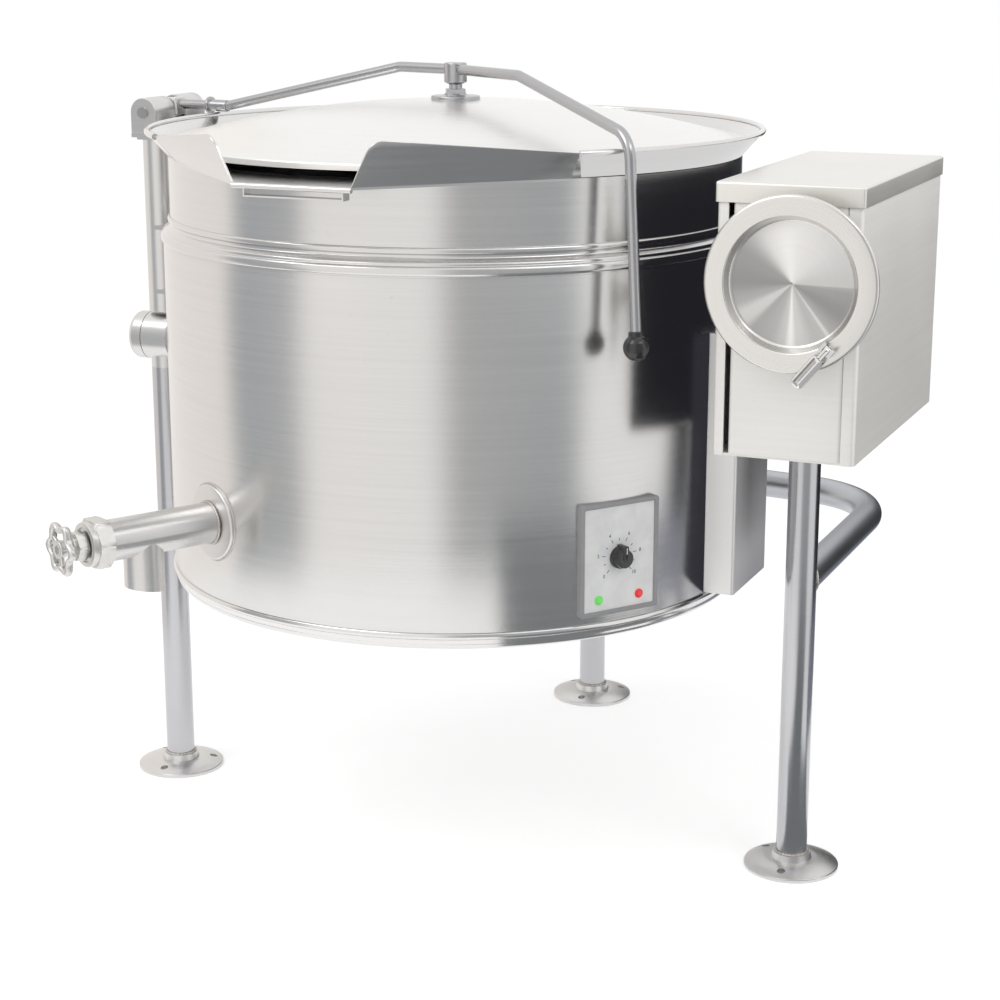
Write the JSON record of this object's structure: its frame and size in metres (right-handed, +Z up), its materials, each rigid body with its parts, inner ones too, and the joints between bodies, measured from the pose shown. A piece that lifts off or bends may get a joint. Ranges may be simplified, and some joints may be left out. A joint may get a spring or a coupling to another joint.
{
  "type": "steam jacketed kettle",
  "caption": "Floor-standing tilting steam jacketed kettle with pouring lip, hinged domed cover, draw-off valve and hand-cranked tilt console on a tube frame.",
  "frame": {"origin": "on the floor, under the vessel's vertical axis", "axes": "+Z up, -Y towards the pouring lip, +X towards the tilt console; the trunnion axis is parallel to X"},
  "size_m": [1.194, 1.18, 1.0836],
  "materials": {
    "brushed_body": "horizontal fine brushed stainless",
    "polished_steel": "bright polished stainless",
    "satin_steel": "satin stainless tube",
    "console_steel": "light satin stainless sheet",
    "cast_steel": "cast stainless",
    "machine_steel": "turned steel",
    "bronze": "bearing bronze",
    "black_plastic": "moulded black",
    "panel_film": "pale panel",
    "bezel_grey": "grey bezel",
    "green_lens": "green lens",
    "red_lens": "red lens"
  },
  "bodies": {
    "frame": {"left_leg": "satin_steel", "right_leg": "satin_steel", "rear_leg": "satin_steel", "left_foot": "satin_steel", "right_foot": "satin_steel", "rear_foot": "satin_steel", "left_frame_tube": "satin_steel", "right_frame_tube": "satin_steel", "left_bearing_housing": "satin_steel", "left_trunnion_bush": "bronze", "console_chassis": "console_steel", "console_front_panel": "console_steel", "console_side_panel": "console_steel", "console_top_cover": "console_steel", "right_bearing_block": "machine_steel", "worm_bearing_front": "machine_steel", "worm_bearing_rear": "machine_steel"},
    "vessel": {"outer_shell": "brushed_body", "neck_band": "polished_steel", "kettle_liner": "polished_steel", "steam_jacket": "machine_steel", "base_ring": "polished_steel", "bottom_cover": "satin_steel", "pouring_rim": "polished_steel", "pouring_lip": "polished_steel", "strainer_bracket": "polished_steel", "left_trunnion": "satin_steel", "trunnion_cap": "satin_steel", "right_trunnion": "satin_steel", "worm_sector": "machine_steel", "hinge_housing": "satin_steel", "hinge_pin": "machine_steel", "hinge_post": "satin_steel", "hinge_carrier": "satin_steel", "drawoff_body": "satin_steel", "drawoff_flange": "satin_steel", "bonnet_nut": "cast_steel", "packing_nut": "cast_steel", "control_bezel": "bezel_grey", "control_plate": "panel_film", "green_lamp": "green_lens", "red_lamp": "red_lens", "raceway_box": "satin_steel"},
    "cover": {"lid_dome": "polished_steel", "lid_hub": "satin_steel", "lid_arm": "satin_steel", "ball_knob": "black_plastic", "arm_collar": "satin_steel", "hinge_barrel": "satin_steel"},
    "hand_wheel": {"hand_wheel": "polished_steel", "worm_shaft": "machine_steel", "crank_bracket": "satin_steel"},
    "crank_grip": {"crank_grip": "satin_steel"},
    "valve_plug": {"valve_plug": "machine_steel"},
    "valve_stem": {"valve_stem": "satin_steel", "valve_star_wheel": "cast_steel"},
    "thermostat_knob": {"thermostat_knob": "black_plastic"}
  },
  "joints": [
    {"name": "vessel_tilt", "type": "hinge", "parent": "frame", "child": "vessel", "pos_m": [0, 0, 0.676], "axis": [1, 0, 0], "range_deg": [0, 90]},
    {"name": "hand_wheel_turn", "type": "hinge", "parent": "frame", "child": "hand_wheel", "pos_m": [0.547, -0.258, 0.849], "axis": [0, 1, 0], "range_deg": [0, 5405]},
    {"name": "crank_grip_fold", "type": "hinge", "parent": "hand_wheel", "child": "crank_grip", "pos_m": [0.59747, -0.2643, 0.77692], "axis": [-0.7716, 0, 0.6361], "range_deg": [0, 90]},
    {"name": "cover_lift", "type": "hinge", "parent": "vessel", "child": "cover", "pos_m": [-0.503, 0.078, 1.001], "axis": [0, -1, 0], "range_deg": [0, 100]},
    {"name": "valve_lift", "type": "slide", "parent": "vessel", "child": "valve_plug", "axis": [-0.4879, -0.8729, 0], "range_m": [0, 0.04]},
    {"name": "valve_turn", "type": "hinge", "parent": "valve_plug", "child": "valve_stem", "pos_m": [-0.29857, -0.53423, 0.505], "axis": [-0.4879, -0.8729, 0], "range_deg": [0, 2885]},
    {"name": "thermostat_turn", "type": "hinge", "parent": "vessel", "child": "thermostat_knob", "pos_m": [0.33381, -0.2346, 0.485], "axis": [0.8181, -0.575, 0], "range_deg": [-150, 150]}
  ],
  "couplings": [
    {"joint": "hand_wheel_turn", "follows": "vessel_tilt", "ratio": 60},
    {"joint": "valve_turn", "follows": "valve_lift", "rad_per_m": 1256.6}
  ]
}
